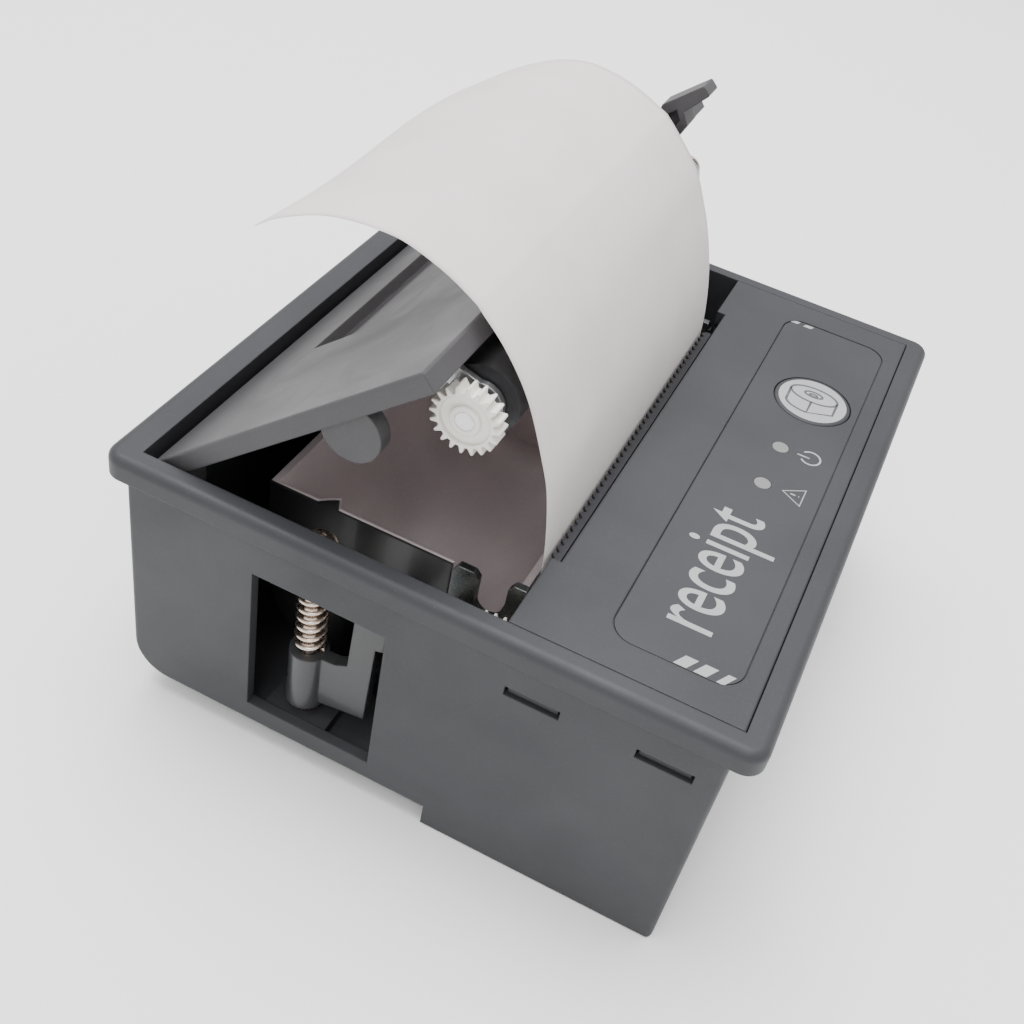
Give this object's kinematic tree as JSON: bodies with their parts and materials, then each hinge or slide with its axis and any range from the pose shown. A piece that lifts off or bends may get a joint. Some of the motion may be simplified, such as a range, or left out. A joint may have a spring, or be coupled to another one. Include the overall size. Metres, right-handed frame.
{
  "type": "receipt printer",
  "caption": "Panel-mount thermal receipt printer with an open paper lid, rubber platen, tear bar, feed button and swing-out panel clamps.",
  "frame": {"origin": "middle of the bezel on the panel plane, which is the underside of the bezel flange", "axes": "+Z out of the panel, +X from the lid hinge to the control cover, +Y along the width of the paper towards the release lever"},
  "size_m": [0.0806, 0.0898, 0.0717],
  "materials": {
    "case_plastic": "fine textured charcoal",
    "lid_plastic": "fine textured charcoal",
    "bucket_plastic": "satin dark grey",
    "button_plastic": "satin charcoal",
    "label_film": "printed film",
    "lamp_plastic": "translucent grey",
    "black_plastic": "moulded black",
    "clamp_plastic": "glossy black",
    "gear_plastic": "natural nylon",
    "white_plastic": "ivory connector",
    "board": "green solder mask",
    "chip": "black package",
    "steel": "plated sheet steel",
    "spring_steel": "bright wire",
    "screw_steel": "zinc plated",
    "black_screw": "black oxide",
    "aluminium": "mill finish",
    "ceramic": "glazed",
    "roller_rubber": "black rubber",
    "brass": "turned",
    "contact_gold": "plated",
    "paper": "uncoated paper"
  },
  "bodies": {
    "housing": {"housing_shell": "case_plastic", "bottom_cover": "case_plastic", "bottom_cover_screws": "black_screw", "control_cover": "case_plastic", "label_overlay": "label_film", "feed_switch": "chip", "power_lamp": "lamp_plastic", "error_lamp": "lamp_plastic", "lamp_chips": "white_plastic", "key_board": "board", "key_board_screws": "screw_steel", "tear_bar": "black_screw", "tear_bar_screws": "screw_steel", "main_board": "board", "board_components": "chip", "power_connector": "white_plastic", "power_connector_pins": "contact_gold", "data_connector": "white_plastic", "data_connector_pins": "contact_gold", "near_side_plate": "steel", "far_side_plate": "steel", "mechanism_screws": "screw_steel", "pressure_plate": "steel", "head_pivot_pin": "screw_steel", "head_springs": "spring_steel", "stepper_motor": "steel", "motor_screws": "screw_steel", "gear_stud": "screw_steel", "paper_bucket": "bucket_plastic", "paper_sensor": "chip", "hinge_pins": "screw_steel", "lid_spring": "spring_steel", "near_clamp_spring": "spring_steel", "far_clamp_spring": "spring_steel", "paper_strip": "paper"},
    "lid": {"lid_panel": "lid_plastic", "platen_carrier": "steel", "carrier_screws": "screw_steel", "platen_bushes": "black_plastic", "lever_pin": "screw_steel", "lever_spring": "spring_steel"},
    "platen": {"platen_shaft": "screw_steel", "platen_roller": "roller_rubber", "platen_gear": "gear_plastic", "platen_clip": "spring_steel"},
    "lever": {"release_lever": "lid_plastic"},
    "head": {"print_head": "ceramic", "head_heatsink": "aluminium"},
    "motor": {"motor_pinion": "brass", "motor_shaft": "screw_steel"},
    "reduction": {"reduction_gear": "gear_plastic"},
    "button": {"feed_button": "button_plastic", "switch_plunger": "white_plastic"},
    "near_screw": {"near_clamp_screw": "black_screw"},
    "near_bush": {"near_clamp_bush": "brass"},
    "near_dog": {"near_clamp_dog": "clamp_plastic"},
    "far_screw": {"far_clamp_screw": "black_screw"},
    "far_bush": {"far_clamp_bush": "brass"},
    "far_dog": {"far_clamp_dog": "clamp_plastic"}
  },
  "joints": [
    {"name": "lid_hinge", "type": "hinge", "parent": "housing", "child": "lid", "pos_m": [-0.033, 0, 0.0002], "axis": [0, -1, 0], "range_deg": [-41, 0], "stiffness_Nm_per_rad": 0.02, "springref_deg": 68.75, "deforming": ["lid_spring"]},
    {"name": "platen_spin", "type": "hinge", "parent": "lid", "child": "platen", "pos_m": [-0.00091, 0, 0.02114], "axis": [0, 1, 0], "continuous": true},
    {"name": "lever_tilt", "type": "hinge", "parent": "lid", "child": "lever", "pos_m": [-0.00732, 0, 0.02279], "axis": [0, -1, 0], "range_deg": [0, 20], "stiffness_Nm_per_rad": 0.002, "springref_deg": -45.84, "deforming": ["lever_spring"]},
    {"name": "head_tilt", "type": "hinge", "parent": "housing", "child": "head", "pos_m": [0.01215, 0, -0.0125], "axis": [0, 1, 0], "range_deg": [0, 3], "stiffness_Nm_per_rad": 0.05, "springref_deg": -17.19, "deforming": ["head_springs"]},
    {"name": "reduction_spin", "type": "hinge", "parent": "housing", "child": "reduction", "pos_m": [0.00779, 0, -0.01113], "axis": [0, 1, 0], "continuous": true},
    {"name": "motor_spin", "type": "hinge", "parent": "housing", "child": "motor", "pos_m": [0.01299, 0, -0.02015], "axis": [0, 1, 0], "continuous": true},
    {"name": "feed_button_press", "type": "slide", "parent": "housing", "child": "button", "axis": [0, 0, -1], "range_m": [0, 0.0004], "stiffness_N_per_m": 400, "springref_m": -0.001},
    {"name": "near_screw_spin", "type": "hinge", "parent": "housing", "child": "near_screw", "pos_m": [-0.0144, -0.0396, -0.0023], "axis": [0, 0, -1], "range_deg": [0, 2160]},
    {"name": "near_bush_slide", "type": "slide", "parent": "housing", "child": "near_bush", "axis": [0, 0, 1], "range_m": [0, 0.003], "deforming": ["near_clamp_spring"]},
    {"name": "near_dog_swing", "type": "hinge", "parent": "near_bush", "child": "near_dog", "pos_m": [-0.0144, -0.0396, -0.0236], "axis": [0, 0, -1], "range_deg": [0, 90]},
    {"name": "far_screw_spin", "type": "hinge", "parent": "housing", "child": "far_screw", "pos_m": [-0.0144, 0.0396, -0.0023], "axis": [0, 0, -1], "range_deg": [0, 2160]},
    {"name": "far_bush_slide", "type": "slide", "parent": "housing", "child": "far_bush", "axis": [0, 0, 1], "range_m": [0, 0.003], "deforming": ["far_clamp_spring"]},
    {"name": "far_dog_swing", "type": "hinge", "parent": "far_bush", "child": "far_dog", "pos_m": [-0.0144, 0.0396, -0.0236], "axis": [0, 0, 1], "range_deg": [0, 90]}
  ],
  "couplings": [
    {"joint": "reduction_spin", "follows": "motor_spin", "ratio": -0.27273},
    {"joint": "near_screw_spin", "follows": "near_bush_slide", "rad_per_m": 12566},
    {"joint": "far_screw_spin", "follows": "far_bush_slide", "rad_per_m": 12566}
  ]
}
